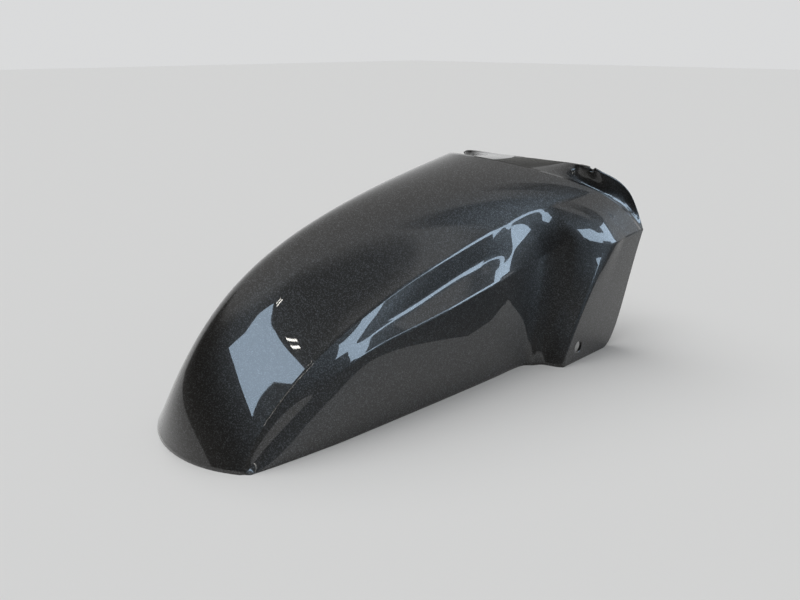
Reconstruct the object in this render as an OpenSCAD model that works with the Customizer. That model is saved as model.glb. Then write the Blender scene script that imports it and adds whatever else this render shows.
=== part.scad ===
// Scooter front fender: one moulded plastic shell that covers the front wheel.
// Its nose points along +X, its left flank along +Y and its rim rests on the plane Z = 0.
// The skin is a net of feature lines: the crown, the shoulder crease, the lower crease and the
// bottom rim run from nose to tail, and smooth sections cross from one line to the next.
// A point is written as [distance behind the nose tip, half width, height].

/* [Overall] */
// Length from the nose tip to the rear corners of the wings
length = 482; // [440:1:540]
// Width across the two wings
wing_w = 232; // [220:1:250]
// Thickness of the moulded wall
wall = 2.5; // [2:0.1:3]

/* [Nose] */
// Width between the corners of the nose
nose_w = 124; // [112:1:132]
// How far the middle of the nose rim bows forward of its corners
nose_bow = 20; // [14:1:28]

/* [Hood] */
// Length of the hood from the nose tip to the rear crease
hood_len = 322; // [300:1:335]
// Height of the crown at the rear crease
hood_h = 198; // [190:1:210]
// Width between the shoulder creases where the pockets end
shoulder_w = 130; // [124:1:140]
// Height of the shoulder crease where the pockets end
shoulder_h = 134; // [128:1:140]
// Distance behind the nose tip at which the pockets end
shoulder_back = 292; // [284:1:300]

/* [Flank] */
// Width across the bottom rim of the flanks
flank_w = 168; // [160:1:176]
// Height of the lower crease half way along the pocket
lower_h = 80; // [74:1:86]
// Depth of the dished pocket
pocket_depth = 5.5; // [2:0.5:7]

/* [Wings] */
// Height of the rear corners of the wings
wing_h = 116; // [106:1:126]
// Distance behind the nose tip at which the bottom edge of a wing begins
wing_front = 352; // [344:1:360]
// Length of the bottom edge of a wing
wing_foot = 70; // [60:1:80]

/* [Rear collar] */
// Width of the straight rear edge of the collar
collar_w = 156; // [144:1:160]
// Distance behind the nose tip of that straight edge
collar_back = 422; // [414:1:430]
// Height of that straight edge
collar_h = 185; // [178:1:190]
// Drop from the rear crease to the collar
step_h = 3; // [1.5:0.5:5]

/* [Holes and cuts] */
// Diameter of the bolt hole in each wing
bolt_d = 11.5; // [6:0.5:14]
// Distance of the bolt holes behind the front of the wing's bottom edge
bolt_back = 24; // [20:1:40]
// Height of the bolt holes
bolt_h = 15; // [12:1:30]
// Width of the slot in the collar
slot_w = 13; // [8:1:24]
// Length of the slot in the collar
slot_len = 4; // [3:0.5:8]
// Strip of wall left behind the slot
slot_edge = 2; // [1.5:0.5:5]
// Diameter of the round notches beside the straight edge
notch_d = 7; // [4:0.5:10]
// Place of each notch along the collar's edge, from its middle at 0 to the wing's corner at 1
notch_at = 0.5; // [0.46:0.01:0.56]

/* [Smoothness] */
// Sections from nose to rear crease
sections = 40; // [24:1:44]

/* [Hidden] */
paint = [0.09, 0.09, 0.1];
// Strips across the hood, the side and the flank, and from the rear crease to the collar's edge
hood_strips = 9;
side_strips = 8;
flank_strips = 10;
collar_strips = 6;
// Shares of the sections at which the pocket ends and the wing's front wall begins and ends
at_pocket = 0.62;
at_valley = 0.78;
at_wing = 0.88;
// Strip of the flat wing that lies behind the last section
wing_tail = 4;
half_wing = wing_w / 2;
half_nose = nose_w / 2;
half_flank = flank_w / 2;
half_shoulder = shoulder_w / 2;
upper_strips = hood_strips + side_strips;
rows = upper_strips + flank_strips;
columns = sections + collar_strips;

function mix(a, b, t) = a * (1 - t) + b * t;
function clamp(x) = min(max(x, 0), 1);
function ease(x) = clamp(x) * clamp(x) * (3 - 2 * clamp(x));
function unit(v) = v / norm(v);

// Cubic curve through a and d that leaves towards b and arrives from c
function bezier(a, b, c, d, t) =
    a * pow(1 - t, 3) + 3 * b * t * pow(1 - t, 2) + 3 * c * t * t * (1 - t) + d * pow(t, 3);

// Smooth curve through stations, each written as [share of the way, point]
function place(list, t, i = 0) = i < len(list) - 2 && t > list[i + 1][0] ? place(list, t, i + 1) : i;
function slope(list, i) =
    let (a = list[max(i - 1, 0)], b = list[min(i + 1, len(list) - 1)])
    (b[1] - a[1]) / (b[0] - a[0]);
function through(list, t) =
    let (
        i = place(list, t),
        gap = list[i + 1][0] - list[i][0],
        u = (t - list[i][0]) / gap
    )
    bezier(
        list[i][1],
        list[i][1] + slope(list, i) * gap / 3,
        list[i + 1][1] - slope(list, i + 1) * gap / 3,
        list[i + 1][1],
        u
    );

// Crown of the hood, on the middle plane
function crown(t) = bezier([0, 0, 0], [21, 0, hood_h - 61], [hood_len - 186, 0, hood_h - 33], [hood_len, 0, hood_h], t);

// Shoulder crease: from the corner of the nose to the end of the pocket, then on to the rear crease
pocket_start = [shoulder_back - 106, half_shoulder - 3, shoulder_h - 25];
pocket_end = [shoulder_back, half_shoulder, shoulder_h];
rear_shoulder = [length - 43, half_wing - 27, wing_h + 41];
function shoulder(t) =
    t < at_pocket
    ? bezier([nose_bow, half_nose, 0], [74, half_nose + 1, 86], pocket_start, pocket_end, t / at_pocket)
    : bezier(
        pocket_end,
        pocket_end + 50 * unit(pocket_end - pocket_start),
        rear_shoulder - [52, 9, 1],
        rear_shoulder,
        (t - at_pocket) / (1 - at_pocket)
    );

// Lower crease: up from the nose, along the pocket, then out and over the top of the wing
lower_line = [
    [0, [nose_bow + 3, half_nose + 2.5, 0]],
    [0.12, [nose_bow + 29, half_nose + 3.5, lower_h - 60]],
    [0.25, [nose_bow + 78.5, half_flank - 14.5, lower_h - 29.5]],
    [0.36, [nose_bow + 125, half_flank - 10, lower_h - 11.5]],
    [0.5, [shoulder_back - 77, half_flank - 6, lower_h]],
    [at_pocket, [shoulder_back - 8, half_flank - 4, lower_h + 12]],
    [0.7, [wing_front - 27, half_flank - 5.5, lower_h + 17]],
    [0.75, [wing_front + 3, half_flank - 4.5, wing_h - 13]],
    [at_valley, [wing_front + 14, half_flank - 1, wing_h - 8]],
    [0.81, [wing_front + 24, half_flank + 5.5, wing_h - 1]],
    [0.84, [wing_front + 37, half_flank + 15, wing_h + 4]],
    [at_wing, [wing_front + 70, half_wing - 0.5, wing_h - 3]],
    [0.94, [length - 32, half_wing, wing_h - 1]],
    [1, [length - wing_tail, half_wing, wing_h]]
];
function lower(t) = through(lower_line, t);

// Bottom rim of the flank, flat on the ground
rim_line = [
    [0, [nose_bow + 7, half_nose + 6, 0]],
    [0.12, [nose_bow + 34, half_flank - 12, 0]],
    [0.25, [nose_bow + 82, half_flank - 7, 0]],
    [0.36, [nose_bow + 122, half_flank - 5, 0]],
    [0.5, [shoulder_back - 76, half_flank - 2, 0]],
    [at_pocket, [shoulder_back - 12, half_flank, 0]],
    [0.71, [wing_front - 28, half_flank + 1, 0]],
    [at_valley, [wing_front - 16, half_flank + 9, 0]]
];
function rim(t) = through(rim_line, t);

// Hood: a rounded section from the crown down to the shoulder crease
function hood(t, v) =
    let (
        top = crown(t),
        edge = shoulder(t),
        span = edge - top,
        nose = 1 - ease(4 * t),
        by_top = [0, (0.34 + 0.03 * nose) * span[1], 0],
        by_edge = [(0.31 + 0.34 * nose) * span[0], 0.3 * span[1], 0.59 * span[2]]
    )
    bezier(top, top + by_top, edge - by_edge, edge, v);

// Dish of the pocket: it falls from 0 to a softly bent corner, then climbs back to 0
function dish(v, corner, soft) =
    let (u = clamp((v - corner + soft) / (2 * soft)))
    (2 * soft * (pow(u, 3) - pow(u, 4) / 2) + max(v - corner - soft, 0)) / (1 - corner) - v;

// Side: from the shoulder crease to the lower crease, dished by the pocket
function side(t, v) =
    let (
        from = shoulder(t),
        span = lower(t) - from,
        reach = norm([span[1], span[2]]),
        out = [0, -span[2], span[1]] / reach,
        pocket = ease((t - 0.26) / 0.28) * ease((0.7 - t) / 0.1),
        corner = 0.62 - 0.1 * ease((t - 0.4) / 0.2),
        belly = (1 - pocket) * sin(180 * v) * (0.03 * ease(10 * t) + 0.06 * ease((t - 0.8) / 0.2))
    )
    from + span * v + out * (pocket_depth * pocket * dish(v, corner, 0.12) / 0.55 + reach * belly);

// Wing: a flat panel between its slanted front edge and its rear edge
function wing_front_edge(v) =
    bezier(
        lower(at_wing),
        [wing_front + 42, half_wing, wing_h - 40],
        [wing_front + 6, half_wing, 32],
        [wing_front, half_wing, 0],
        v
    );
function wing_rear_edge(v) =
    bezier(
        [length, half_wing, wing_h],
        [length - 26, half_wing, wing_h - 56],
        [wing_front + wing_foot + 26, half_wing, 0],
        [wing_front + wing_foot, half_wing, 0],
        v
    );
function wing_last(v) = wing_rear_edge(v) - [wing_tail, 0, 0];

// Flank: it rises nearly upright from the bottom rim and leans in towards the lower crease
function flank_ahead(t, v) =
    let (
        top = lower(t),
        low = rim(t),
        lean = [0, low[1] - top[1], 0]
    )
    bezier(top, mix(top, low, 1 / 3) + lean / 6, mix(top, low, 2 / 3) + lean / 3, low, v);
// Near the top the strips follow the lower crease, which is not straight
function follow(t, a, b, v) =
    (lower(t) - mix(lower(a), lower(b), (t - a) / (b - a))) * pow(1 - v, 4);
// Front wall of the wing, with a fillet where it leaves the flank
function wing_wall(t, v) =
    let (share = (t - at_valley) / (at_wing - at_valley))
    mix(flank_ahead(at_valley, v), wing_front_edge(v), share)
        + [35 * v * share * pow(1 - share, 3), 0, 0]
        + follow(t, at_valley, at_wing, v);
function flank(t, v) =
    t <= at_valley ? flank_ahead(t, v)
    : t <= at_wing ? wing_wall(t, v)
    : mix(wing_front_edge(v), wing_last(v), (t - at_wing) / (1 - at_wing)) + follow(t, at_wing, 1, v);

// Collar behind the rear crease: a shelf in the middle that stands up as a low wall at the sides
collar_line = [
    [0, [collar_back, 0, collar_h]],
    [0.2, [collar_back, collar_w * 0.21, collar_h]],
    [0.4, [collar_back, collar_w * 0.44, collar_h]],
    [0.46, [collar_back + 0.5, collar_w / 2 + 1, collar_h - 2]],
    [0.53, [collar_back + 8, collar_w / 2 + 10, collar_h - 5]],
    [0.7, [length - 26, half_wing - 20, wing_h + 52]],
    [0.82, [length - 12, half_wing - 12.5, wing_h + 38]],
    [0.92, [length - 5, half_wing - 6, wing_h + 20]],
    [1, [length, half_wing, wing_h]]
];
function collar(j, u) =
    let (
        w = j / upper_strips,
        crease = upper(1, j),
        edge = through(collar_line, w),
        fade = 1 - ease((w - 0.75) / 0.25),
        wall_up = ease((w - 0.25) / 0.25) * fade,
        foot = crease + [1.2, 0, -step_h] * fade,
        near = mix(foot, edge, 1 / 3) + [8, -5, -6] * wall_up,
        far = mix(foot, edge, 2 / 3) + [5, -1, -3] * wall_up
    )
    u == 0 ? foot : bezier(foot, near, far, edge, u);

// Upper rows are counted from the crown, row by row down to the lower crease
function upper(t, j) = j < hood_strips ? hood(t, j / hood_strips) : side(t, (j - hood_strips) / side_strips);

// Point of the half skin at a column and a row
function skin_half(i, j) =
    let (
        t = min(i / sections, 1),
        v = (j - upper_strips) / flank_strips,
        u = (i - sections - 1) / (collar_strips - 1)
    )
    i <= sections ? (j <= upper_strips ? upper(t, j) : flank(t, v))
    : j < upper_strips ? collar(j, u)
    : mix(wing_last(v), wing_rear_edge(v), (i - sections) / collar_strips);

// The whole skin: rows run from the right rim over the crown to the left rim
half_skin = [for (i = [0:columns]) [for (j = [0:rows]) skin_half(i, j)]];
function turned(p, side) = [length / 2 - p[0], side * p[1], p[2]];
outer = [for (i = [0:columns]) [for (j = [-rows:rows]) turned(half_skin[i][abs(j)], j < 0 ? -1 : 1)]];

// Direction out of the skin at a point, level where the rim stands on the ground.
// The two corners of the nose take it from the next section, because there both edges are level.
function outward(i, j) =
    i == 0 && (j == 0 || j == 2 * rows) ? outward(1, j)
    : let (
        along = outer[max(i - 1, 0)][j] - outer[min(i + 1, columns)][j],
        across = outer[i][min(j + 1, 2 * rows)] - outer[i][max(j - 1, 0)],
        n = cross(along, across),
        level = outer[i][j][2] < 0.01 ? 0 : 1
    )
    unit([n[0], n[1], n[2] * level]);
function above_ground(p) = [p[0], p[1], max(p[2], 0)];
inner = [for (i = [0:columns]) [for (j = [0:2 * rows]) above_ground(outer[i][j] - wall * outward(i, j))]];

// Faces of a net, and the rims that close the outer net to the inner one
across_count = 2 * rows + 1;
skin_count = across_count * (columns + 1);
function at(i, j) = i * across_count + j;
function quad(a, b, c, d) = [[a, b, c], [a, c, d]];
function rim_faces(path) =
    [for (k = [0:len(path) - 2]) each quad(path[k], path[k + 1], path[k + 1] + skin_count, path[k] + skin_count)];

module shell() {
    outer_faces = [
        for (i = [0:columns - 1])
            for (j = [0:2 * rows - 1])
                each quad(at(i, j), at(i + 1, j), at(i + 1, j + 1), at(i, j + 1))
    ];
    inner_faces = [for (f = outer_faces) [f[2] + skin_count, f[1] + skin_count, f[0] + skin_count]];
    edge_faces = concat(
        rim_faces([for (j = [0:2 * rows]) at(0, j)]),
        rim_faces([for (j = [2 * rows:-1:0]) at(columns, j)]),
        rim_faces([for (i = [columns:-1:0]) at(i, 0)]),
        rim_faces([for (i = [0:columns]) at(i, 2 * rows)])
    );
    polyhedron([for (net = [outer, inner]) for (line = net) each line], concat(outer_faces, inner_faces, edge_faces));
}

// Bolt holes through both wings
module bolt_holes() {
    for (side = [-1, 1])
        translate([length / 2 - wing_front - bolt_back, side * half_wing, bolt_h])
            rotate([90, 0, 0])
                cylinder(d = bolt_d, h = 6 * wall, center = true, $fn = 48);
}

// Slot near the straight edge of the collar, and the round notches beside that edge
module collar_cuts() {
    edge_x = length / 2 - collar_back;
    translate([edge_x + slot_edge + slot_len / 2, 0, collar_h])
        cube([slot_len, slot_w, 10 * wall], center = true);
    for (side = [-1, 1])
        translate(turned(through(collar_line, notch_at), side))
            cylinder(d = notch_d, h = 5 * wall, center = true, $fn = 24);
}

module front_fender() {
    color(paint)
        difference() {
            shell();
            bolt_holes();
            collar_cuts();
        }
}

front_fender();
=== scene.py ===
from math import cos, pi, radians, sin

import bmesh
import bpy
import numpy as np
from mathutils import Matrix, Vector


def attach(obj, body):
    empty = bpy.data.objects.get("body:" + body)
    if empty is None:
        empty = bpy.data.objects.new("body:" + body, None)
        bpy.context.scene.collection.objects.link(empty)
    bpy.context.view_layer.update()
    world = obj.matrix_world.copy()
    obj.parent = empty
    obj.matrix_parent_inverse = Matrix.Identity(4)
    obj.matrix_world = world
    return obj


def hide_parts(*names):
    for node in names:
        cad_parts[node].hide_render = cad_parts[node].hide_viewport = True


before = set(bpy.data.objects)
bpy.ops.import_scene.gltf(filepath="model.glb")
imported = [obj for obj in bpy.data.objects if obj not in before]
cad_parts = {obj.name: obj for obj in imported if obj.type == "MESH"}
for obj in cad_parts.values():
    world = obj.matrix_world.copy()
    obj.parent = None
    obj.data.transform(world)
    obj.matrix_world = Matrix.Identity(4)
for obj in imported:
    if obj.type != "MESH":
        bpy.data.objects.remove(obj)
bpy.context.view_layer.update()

# The fender is one injection-moulded plastic shell about 2.5 mm thick. Its shape is a net of
# feature lines: crown, shoulder crease, lower crease and bottom rim run from nose to tail, and
# smooth sections cross between them. Points are [behind the nose tip, half width, height] in mm.
length = 482
half_wing = 116
wall = 2.5
half_nose = 62
nose_bow = 20
hood_len = 322
hood_h = 198
half_shoulder = 65
shoulder_h = 134
shoulder_back = 292
half_flank = 84
lower_h = 80
pocket_depth = 5.5
wing_h = 116
wing_front = 352
wing_foot = 70
wing_tail = 4
collar_w = 156
collar_back = 422
collar_h = 185
step_h = 3

at_pocket = 0.62
at_valley = 0.78
at_wing = 0.88
sections = 150
collar_strips = 20
hood_strips = 36
side_strips = 32
flank_strips = 36
upper_strips = hood_strips + side_strips
rows = upper_strips + flank_strips
columns = sections + collar_strips


def point(*values):
    return np.array(values, dtype=float)


def mix(a, b, t):
    return a * (1 - t) + b * t


def ease(x):
    x = min(max(x, 0.0), 1.0)
    return x * x * (3 - 2 * x)


def bezier(a, b, c, d, t):
    return a * (1 - t) ** 3 + 3 * b * t * (1 - t) ** 2 + 3 * c * t * t * (1 - t) + d * t ** 3


def slope(stations, i):
    a = stations[max(i - 1, 0)]
    b = stations[min(i + 1, len(stations) - 1)]
    return (b[1] - a[1]) / (b[0] - a[0])


def through(stations, t):
    i = 0
    while i < len(stations) - 2 and t > stations[i + 1][0]:
        i += 1
    (start, a), (end, b) = stations[i], stations[i + 1]
    gap = end - start
    return bezier(a, a + slope(stations, i) * gap / 3, b - slope(stations, i + 1) * gap / 3, b,
                  (t - start) / gap)


def crown(t):
    return bezier(point(0, 0, 0), point(21, 0, hood_h - 61), point(hood_len - 186, 0, hood_h - 33),
                  point(hood_len, 0, hood_h), t)


pocket_start = point(shoulder_back - 106, half_shoulder - 3, shoulder_h - 25)
pocket_end = point(shoulder_back, half_shoulder, shoulder_h)
pocket_line = (pocket_end - pocket_start) / np.linalg.norm(pocket_end - pocket_start)
rear_shoulder = point(length - 43, half_wing - 27, wing_h + 41)


def shoulder(t):
    if t < at_pocket:
        return bezier(point(nose_bow, half_nose, 0), point(74, half_nose + 1, 86), pocket_start, pocket_end,
                      t / at_pocket)
    return bezier(pocket_end, pocket_end + 50 * pocket_line, rear_shoulder - point(52, 9, 1), rear_shoulder,
                  (t - at_pocket) / (1 - at_pocket))


lower_line = [
    (0, point(nose_bow + 3, half_nose + 2.5, 0)),
    (0.12, point(nose_bow + 29, half_nose + 3.5, lower_h - 60)),
    (0.25, point(nose_bow + 78.5, half_flank - 14.5, lower_h - 29.5)),
    (0.36, point(nose_bow + 125, half_flank - 10, lower_h - 11.5)),
    (0.5, point(shoulder_back - 77, half_flank - 6, lower_h)),
    (at_pocket, point(shoulder_back - 8, half_flank - 4, lower_h + 12)),
    (0.7, point(wing_front - 27, half_flank - 5.5, lower_h + 17)),
    (0.75, point(wing_front + 3, half_flank - 4.5, wing_h - 13)),
    (at_valley, point(wing_front + 14, half_flank - 1, wing_h - 8)),
    (0.81, point(wing_front + 24, half_flank + 5.5, wing_h - 1)),
    (0.84, point(wing_front + 37, half_flank + 15, wing_h + 4)),
    (at_wing, point(wing_front + 70, half_wing - 0.5, wing_h - 3)),
    (0.94, point(length - 32, half_wing, wing_h - 1)),
    (1, point(length - wing_tail, half_wing, wing_h)),
]
rim_line = [
    (0, point(nose_bow + 7, half_nose + 6, 0)),
    (0.12, point(nose_bow + 34, half_flank - 12, 0)),
    (0.25, point(nose_bow + 82, half_flank - 7, 0)),
    (0.36, point(nose_bow + 122, half_flank - 5, 0)),
    (0.5, point(shoulder_back - 76, half_flank - 2, 0)),
    (at_pocket, point(shoulder_back - 12, half_flank, 0)),
    (0.71, point(wing_front - 28, half_flank + 1, 0)),
    (at_valley, point(wing_front - 16, half_flank + 9, 0)),
]
collar_line = [
    (0, point(collar_back, 0, collar_h)),
    (0.2, point(collar_back, collar_w * 0.21, collar_h)),
    (0.4, point(collar_back, collar_w * 0.44, collar_h)),
    (0.46, point(collar_back + 0.5, collar_w / 2 + 1, collar_h - 2)),
    (0.53, point(collar_back + 8, collar_w / 2 + 10, collar_h - 5)),
    (0.7, point(length - 26, half_wing - 20, wing_h + 52)),
    (0.82, point(length - 12, half_wing - 12.5, wing_h + 38)),
    (0.92, point(length - 5, half_wing - 6, wing_h + 20)),
    (1, point(length, half_wing, wing_h)),
]


def hood(t, v):
    top = crown(t)
    edge = shoulder(t)
    span = edge - top
    nose = 1 - ease(3 * t)
    by_top = point(0, (0.34 + 0.03 * nose) * span[1], 0)
    by_edge = point((0.38 + 0.27 * nose) * span[0], 0.3 * span[1], 0.59 * span[2])
    return bezier(top, top + by_top, edge - by_edge, edge, v)


def bent(v, corner, soft):
    u = min(max((v - corner + soft) / (2 * soft), 0), 1)
    turned = 2 * soft * (u ** 3 - u ** 4 / 2) + max(v - corner - soft, 0)
    return turned / (1 - corner) - v


def side(t, v):
    start = shoulder(t)
    span = through(lower_line, t) - start
    reach = np.hypot(span[1], span[2])
    out = point(0, -span[2], span[1]) / reach
    pocket = ease((t - 0.26) / 0.28) * ease((0.7 - t) / 0.1)
    dish = bent(v, 0.62 - 0.1 * ease((t - 0.4) / 0.2), 0.12) / 0.55
    belly = (1 - pocket) * sin(pi * v) * (0.03 * ease(10 * t) + 0.06 * ease((t - 0.8) / 0.2))
    return start + span * v + out * (pocket_depth * pocket * dish + reach * belly)


def upper(t, j):
    return hood(t, j / hood_strips) if j < hood_strips else side(t, (j - hood_strips) / side_strips)


def wing_front_edge(v):
    return bezier(through(lower_line, at_wing), point(wing_front + 42, half_wing, wing_h - 40),
                  point(wing_front + 6, half_wing, 32), point(wing_front, half_wing, 0), v)


def wing_rear_edge(v):
    return bezier(point(length, half_wing, wing_h), point(length - 26, half_wing, wing_h - 56),
                  point(wing_front + wing_foot + 26, half_wing, 0),
                  point(wing_front + wing_foot, half_wing, 0), v)


def flank_ahead(t, v):
    top = through(lower_line, t)
    low = through(rim_line, t)
    lean = point(0, low[1] - top[1], 0)
    return bezier(top, mix(top, low, 1 / 3) + lean / 6, mix(top, low, 2 / 3) + lean / 3, low, v)


def follow(t, a, b, v):
    straight = mix(through(lower_line, a), through(lower_line, b), (t - a) / (b - a))
    return (through(lower_line, t) - straight) * (1 - v) ** 4


def flank(t, v):
    if t <= at_valley:
        return flank_ahead(t, v)
    if t <= at_wing:
        share = (t - at_valley) / (at_wing - at_valley)
        fillet = point(35 * v * share * (1 - share) ** 3, 0, 0)
        wall_out = mix(flank_ahead(at_valley, v), wing_front_edge(v), share)
        return wall_out + fillet + follow(t, at_valley, at_wing, v)
    share = (t - at_wing) / (1 - at_wing)
    plate = mix(wing_front_edge(v), wing_rear_edge(v) - point(wing_tail, 0, 0), share)
    return plate + follow(t, at_wing, 1, v)


def collar(j, u):
    w = j / upper_strips
    edge = through(collar_line, w)
    fade = 1 - ease((w - 0.75) / 0.25)
    wall_up = ease((w - 0.25) / 0.25) * fade
    foot = upper(1, j) + point(1.2, 0, -step_h) * fade
    near = mix(foot, edge, 1 / 3) + point(8, -5, -6) * wall_up
    far = mix(foot, edge, 2 / 3) + point(5, -1, -3) * wall_up
    return bezier(foot, near, far, edge, u)


def skin_half(i, j):
    v = (j - upper_strips) / flank_strips
    if i <= sections:
        t = i / sections
        return upper(t, j) if j <= upper_strips else flank(t, v)
    if j < upper_strips:
        return collar(j, (i - sections - 1) / (collar_strips - 1))
    return wing_rear_edge(v) - point(wing_tail, 0, 0) * (columns - i) / collar_strips


half_skin = np.array([[skin_half(i, j) for j in range(rows + 1)] for i in range(columns + 1)])
left = (point(length / 2, 0, 0) + half_skin * point(-1, 1, 1)) / 1000
outer = np.concatenate([left[:, :0:-1] * point(1, -1, 1), left], axis=1)

along = -np.gradient(outer, axis=0)
across = np.gradient(outer, axis=1)
outward = np.cross(along, across)
outward[outer[:, :, 2] < 1e-5, 2] = 0
outward[0, 0] = outward[1, 0]
outward[0, -1] = outward[1, -1]
outward /= np.linalg.norm(outward, axis=2, keepdims=True)
inner = outer - wall / 1000 * outward
inner[:, :, 2] = np.maximum(inner[:, :, 2], 0)

across_count = outer.shape[1]
skin_count = across_count * outer.shape[0]


def at(i, j):
    return i * across_count + j


faces = []
for i in range(columns):
    for j in range(across_count - 1):
        a, b, c, d = at(i, j), at(i, j + 1), at(i + 1, j + 1), at(i + 1, j)
        faces.append((a, b, c, d))
        faces.append((d + skin_count, c + skin_count, b + skin_count, a + skin_count))
edges_around = (
    [at(0, j) for j in range(across_count - 1, 0, -1)]
    + [at(i, 0) for i in range(columns)]
    + [at(columns, j) for j in range(across_count - 1)]
    + [at(i, across_count - 1) for i in range(columns, 0, -1)]
)
for a, b in zip(edges_around, edges_around[1:] + edges_around[:1]):
    faces.append((a, b, b + skin_count, a + skin_count))

shell_mesh = bpy.data.meshes.new("fender_shell")
shell_mesh.from_pydata([tuple(p) for net in (outer, inner) for p in net.reshape(-1, 3)], [], faces)
shell = bpy.data.objects.new("fender_shell", shell_mesh)
bpy.context.collection.objects.link(shell)
shell_mesh.polygons.foreach_set("use_smooth", [True] * len(shell_mesh.polygons))

# The bolt holes, the slot and the two notches are moulded in as through cuts.
bolt_d = 11.5
bolt_back = 24
bolt_h = 15
slot_w = 13
slot_len = 4
slot_edge = 2
notch_d = 7
notch_at = 0.5
edge_x = length / 2 - collar_back


def cut(name, middle, size, round_axis=None):
    cutter_mesh = bpy.data.meshes.new(name)
    body = bmesh.new()
    if round_axis:
        bmesh.ops.create_cone(body, cap_ends=True, segments=64, radius1=0.5, radius2=0.5, depth=1)
        if round_axis == "Y":
            bmesh.ops.rotate(body, verts=body.verts, matrix=Matrix.Rotation(pi / 2, 3, "X"))
    else:
        bmesh.ops.create_cube(body, size=1)
    for vertex in body.verts:
        vertex.co = Vector([m + s * c for m, s, c in zip(middle, size, vertex.co)]) / 1000
    body.to_mesh(cutter_mesh)
    body.free()
    cutter = bpy.data.objects.new(name, cutter_mesh)
    bpy.context.collection.objects.link(cutter)
    step = shell.modifiers.new(name, "BOOLEAN")
    step.operation = "DIFFERENCE"
    step.solver = "EXACT"
    step.object = cutter
    bpy.context.view_layer.objects.active = shell
    bpy.ops.object.modifier_apply(modifier=name)
    bpy.data.objects.remove(cutter)


for hand in (-1, 1):
    bolt_x = length / 2 - wing_front - bolt_back
    cut("bolt_hole", (bolt_x, hand * half_wing, bolt_h), (bolt_d, 6 * wall, bolt_d), round_axis="Y")
    back, out, up = through(collar_line, notch_at)
    cut("notch", (length / 2 - back, hand * out, up), (notch_d, notch_d, 2.4 * wall), round_axis="Z")
cut("slot", (edge_x + slot_edge + slot_len / 2, 0, collar_h), (slot_len, slot_w, 10 * wall))

# Its finish is black paint with a fine metal flake, sprayed on and sealed under a hard clear coat.
# Each cell of the flake takes a grey of its own between the two colours.
paint_black = (0.042, 0.040, 0.037, 1)
flake_grey = (0.13, 0.13, 0.135, 1)
flakes_per_metre = 1500
paint = bpy.data.materials.new("gloss_black_flake")
paint.use_nodes = True
nodes = paint.node_tree.nodes
links = paint.node_tree.links
coat = nodes["Principled BSDF"]
coat.inputs["Metallic"].default_value = 0.85
coat.inputs["Roughness"].default_value = 0.45
coat.inputs["Coat Weight"].default_value = 1.0
coat.inputs["Coat Roughness"].default_value = 0.02
place = nodes.new("ShaderNodeTexCoord")
flake = nodes.new("ShaderNodeTexVoronoi")
flake.inputs["Scale"].default_value = flakes_per_metre
links.new(place.outputs["Object"], flake.inputs["Vector"])
sparkle = nodes.new("ShaderNodeMapRange")
sparkle.inputs["From Min"].default_value = 0.55
sparkle.inputs["From Max"].default_value = 1.0
links.new(flake.outputs["Color"], sparkle.inputs["Value"])
shade = nodes.new("ShaderNodeMixRGB")
shade.inputs["Color1"].default_value = paint_black
shade.inputs["Color2"].default_value = flake_grey
links.new(sparkle.outputs["Result"], shade.inputs["Fac"])
links.new(shade.outputs["Color"], coat.inputs["Base Color"])
shell_mesh.materials.append(paint)
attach(shell, "root")
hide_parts("front_fender")

# The floor is a wide sheet of pale matt board, and the rim of the fender stands on it.
half_board = 9
board = bpy.data.materials.new("pale_board")
board.use_nodes = True
matt = board.node_tree.nodes["Principled BSDF"]
matt.inputs["Base Color"].default_value = (0.74, 0.745, 0.75, 1)
matt.inputs["Roughness"].default_value = 1.0
matt.inputs["Specular IOR Level"].default_value = 0.0
floor_mesh = bpy.data.meshes.new("floor")
board_corners = [(-half_board, -half_board, 0), (half_board, -half_board, 0),
                 (half_board, half_board, 0), (-half_board, half_board, 0)]
floor_mesh.from_pydata(board_corners, [], [(0, 1, 2, 3)])
floor = bpy.data.objects.new("floor", floor_mesh)
bpy.context.collection.objects.link(floor)
floor_mesh.materials.append(board)

# The camera stands at the photograph's place, and looks down on the left front of the nose.
heading = radians(46)
down = radians(19)
toward = Vector((cos(heading), sin(heading), 0))
aside = Vector((-sin(heading), cos(heading), 0))
camera_data = bpy.data.cameras.new("camera")
camera = bpy.data.objects.new("camera", camera_data)
bpy.context.collection.objects.link(camera)
camera_data.sensor_width = 36
camera_data.lens = 33.75
camera.location = (0.468, 0.487, 0.300)
look = -toward * cos(down) - Vector((0, 0, sin(down)))
camera.rotation_euler = look.to_track_quat("-Z", "Y").to_euler()
bpy.context.scene.camera = camera

# Gloss paint shows what stands round it, so sheets hang round the part that only the gloss can see.
# Their places are given as degrees to the right of the camera, degrees up, and metres away.
def around(azimuth, elevation, distance):
    level = toward * cos(radians(azimuth)) + aside * sin(radians(azimuth))
    return (level * cos(radians(elevation)) + Vector((0, 0, sin(radians(elevation))))) * distance


def hang(name, corners, outlines, colour, strength):
    light = bpy.data.materials.new(name)
    light.use_nodes = True
    light.node_tree.nodes.clear()
    glow = light.node_tree.nodes.new("ShaderNodeEmission")
    glow.inputs["Color"].default_value = (*colour, 1)
    glow.inputs["Strength"].default_value = strength
    surface = light.node_tree.nodes.new("ShaderNodeOutputMaterial")
    light.node_tree.links.new(glow.outputs["Emission"], surface.inputs["Surface"])
    sheet_mesh = bpy.data.meshes.new(name)
    sheet_mesh.from_pydata([tuple(c) for c in corners], [], outlines)
    sheet_mesh.materials.append(light)
    sheet = bpy.data.objects.new(name, sheet_mesh)
    bpy.context.collection.objects.link(sheet)
    sheet.visible_camera = False
    sheet.visible_diffuse = False
    sheet.visible_shadow = False
    return sheet


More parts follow.
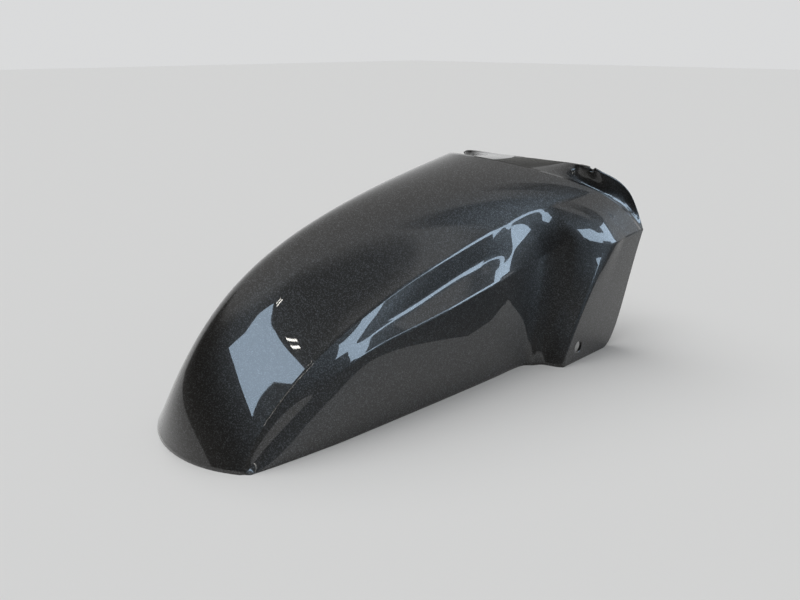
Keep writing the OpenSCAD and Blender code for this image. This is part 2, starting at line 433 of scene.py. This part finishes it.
# A dark sheet, seen only in the gloss, stands in front and on both sides: painted shade that puts dark
# reflections of the room on the paint. Its top edge fades into the pale ceiling grey, a painted reflection
# of the ceiling.
dark_sheet_far = 3.4
reflected_shade_black = (0.03, 0.028, 0.025)
ceiling_grey = (0.70, 0.705, 0.71)
dark_sheet_rows = 4
dark_sheet_top = [(-115, 44), (-60, 48), (-20, 52), (10, 53), (38, 57), (65, 51), (73, 46), (75, 42), (77, 34),
               (81, 36), (83, 38), (85, 45), (93, 46)]
dark_sheet_corners = []
for azimuth in range(-115, 94):
    top = np.interp(azimuth, [a for a, e in dark_sheet_top], [e for a, e in dark_sheet_top])
    for elevation in (-4, 20, top - 4, top + 4):
        dark_sheet_corners.append(around(azimuth, elevation, dark_sheet_far))
dark_sheet_faces = [(k, k + 1, k + 1 + dark_sheet_rows, k + dark_sheet_rows)
         for k in range(len(dark_sheet_corners) - dark_sheet_rows) if k % dark_sheet_rows < dark_sheet_rows - 1]
dark_reflection_sheet = hang("dark_reflection_sheet", dark_sheet_corners, dark_sheet_faces, reflected_shade_black, 1.0)
fade = dark_reflection_sheet.data.attributes.new("fade", "FLOAT", "POINT")
for k, stop in enumerate(fade.data):
    stop.value = 1.0 if k % dark_sheet_rows == dark_sheet_rows - 1 else 0.0
dark_sheet_nodes = dark_reflection_sheet.data.materials[0].node_tree
towards_top = dark_sheet_nodes.nodes.new("ShaderNodeAttribute")
towards_top.attribute_name = "fade"
blend = dark_sheet_nodes.nodes.new("ShaderNodeMixRGB")
blend.inputs["Color1"].default_value = (*reflected_shade_black, 1)
blend.inputs["Color2"].default_value = (*ceiling_grey, 1)
dark_sheet_nodes.links.new(towards_top.outputs["Fac"], blend.inputs["Fac"])
dark_sheet_nodes.links.new(blend.outputs["Color"], dark_sheet_nodes.nodes["Emission"].inputs["Color"])

# A black sheet, seen only in the gloss, lies on the board beyond a table-sized clear area on the right:
# painted shade that darkens the board's reflection there.
# Its corners are metres towards the camera and metres to the right.
floor_shade_lift = Vector((0, 0, 0.001))
floor_shade_outline = [(3.2, 0.225), (0.06, 0.225), (0.02, 0.30), (-0.02, 0.36), (-0.10, 0.62), (-0.25, 1.1),
         (-0.8, 3.0), (3.2, 3.0)]
floor_shade_corners = [toward * t + aside * a + floor_shade_lift for t, a in floor_shade_outline]
hang("floor_shade_sheet", floor_shade_corners, [tuple(range(len(floor_shade_outline)))], (0.02, 0.02, 0.02), 1.0)

# A dim sheet stands behind, seen only in the gloss, where only the shelf of the collar shows it: painted
# shade that darkens the shelf's reflection.
back_shade_far = 3.0
back_shade_sheet = [(150, 0), (150, 36), (169, 36), (169, 0)]
hang("back_shade_sheet", [around(a, e, back_shade_far) for a, e in back_shade_sheet], [(0, 1, 2, 3)], (0.12, 0.12, 0.115), 1.0)

# Bluish windows stand in front and on the right. Each is one pane.
window_far = 2.9
daylight_blue = (0.62, 0.80, 1.0)
front_window = [(-16.5, 40.3), (0, 44.6), (10, 47.3), (16, 48.3), (21.5, 49), (20.5, 46), (16, 44.6),
                (8, 42.6), (-2, 36.8), (-9, 31.3), (-10, 36.3), (-11, 38)]
side_window = [(53, 13), (53, 23), (64, 26), (68, 23.5), (78, 24), (80, 28), (91, 28), (91, 6), (77, 7),
               (77, 17), (66, 18), (62, 12.5)]
for name, pane in (("front_window", front_window), ("side_window", side_window)):
    pane_corners = [around(a, e, window_far) for a, e in pane]
    hang(name, pane_corners, [tuple(range(len(pane)))], daylight_blue, 8)

# Thin lamp tubes hang between the windows and the part.
tube_far = 2.8
tube_thick = 0.35
tubes = [((23.5, 47.4), (27, 48.8)), ((23.2, 48.3), (26, 49.4)), ((6, 26), (38, 34))]
for k, (first, last) in enumerate(tubes):
    corners = [around(first[0], first[1], tube_far), around(last[0], last[1], tube_far),
               around(last[0], last[1] + tube_thick, tube_far),
               around(first[0], first[1] + tube_thick, tube_far)]
    hang(f"lamp_tube_{k}", corners, [(0, 1, 2, 3)], (1.0, 0.97, 0.9), 30)

# One very broad soft light, from above and behind on the left, gives the even board and the soft shadow.
sky_data = bpy.data.lights.new("soft_ceiling", "SUN")
sky_data.energy = 2.15
sky_data.angle = radians(70)
sky_data.color = (1.0, 0.995, 0.98)
sky = bpy.data.objects.new("soft_ceiling", sky_data)
sky.rotation_euler = around(-120, 68, 1).to_track_quat("Z", "Y").to_euler()
sky.visible_glossy = False
bpy.context.collection.objects.link(sky)

# The room is an even pale grey. It gives less light to matt surfaces than the eye and the gloss see.
light_on_matt = 0.35
world = bpy.data.worlds.new("world")
bpy.context.scene.world = world
world.use_nodes = True
air = world.node_tree.nodes
air["Background"].inputs["Color"].default_value = (*ceiling_grey, 1)
path = air.new("ShaderNodeLightPath")
eye = air.new("ShaderNodeMath")
eye.operation = "ADD"
world.node_tree.links.new(path.outputs["Is Camera Ray"], eye.inputs[0])
world.node_tree.links.new(path.outputs["Is Glossy Ray"], eye.inputs[1])
clear = air.new("ShaderNodeMath")
clear.operation = "ADD"
clear.use_clamp = True
world.node_tree.links.new(eye.outputs[0], clear.inputs[0])
world.node_tree.links.new(path.outputs["Is Transmission Ray"], clear.inputs[1])
strength = air.new("ShaderNodeMapRange")
strength.inputs["To Min"].default_value = light_on_matt
strength.inputs["To Max"].default_value = 1.0
world.node_tree.links.new(clear.outputs[0], strength.inputs["Value"])
world.node_tree.links.new(strength.outputs["Result"], air["Background"].inputs["Strength"])

bpy.context.scene.view_settings.view_transform = "Standard"
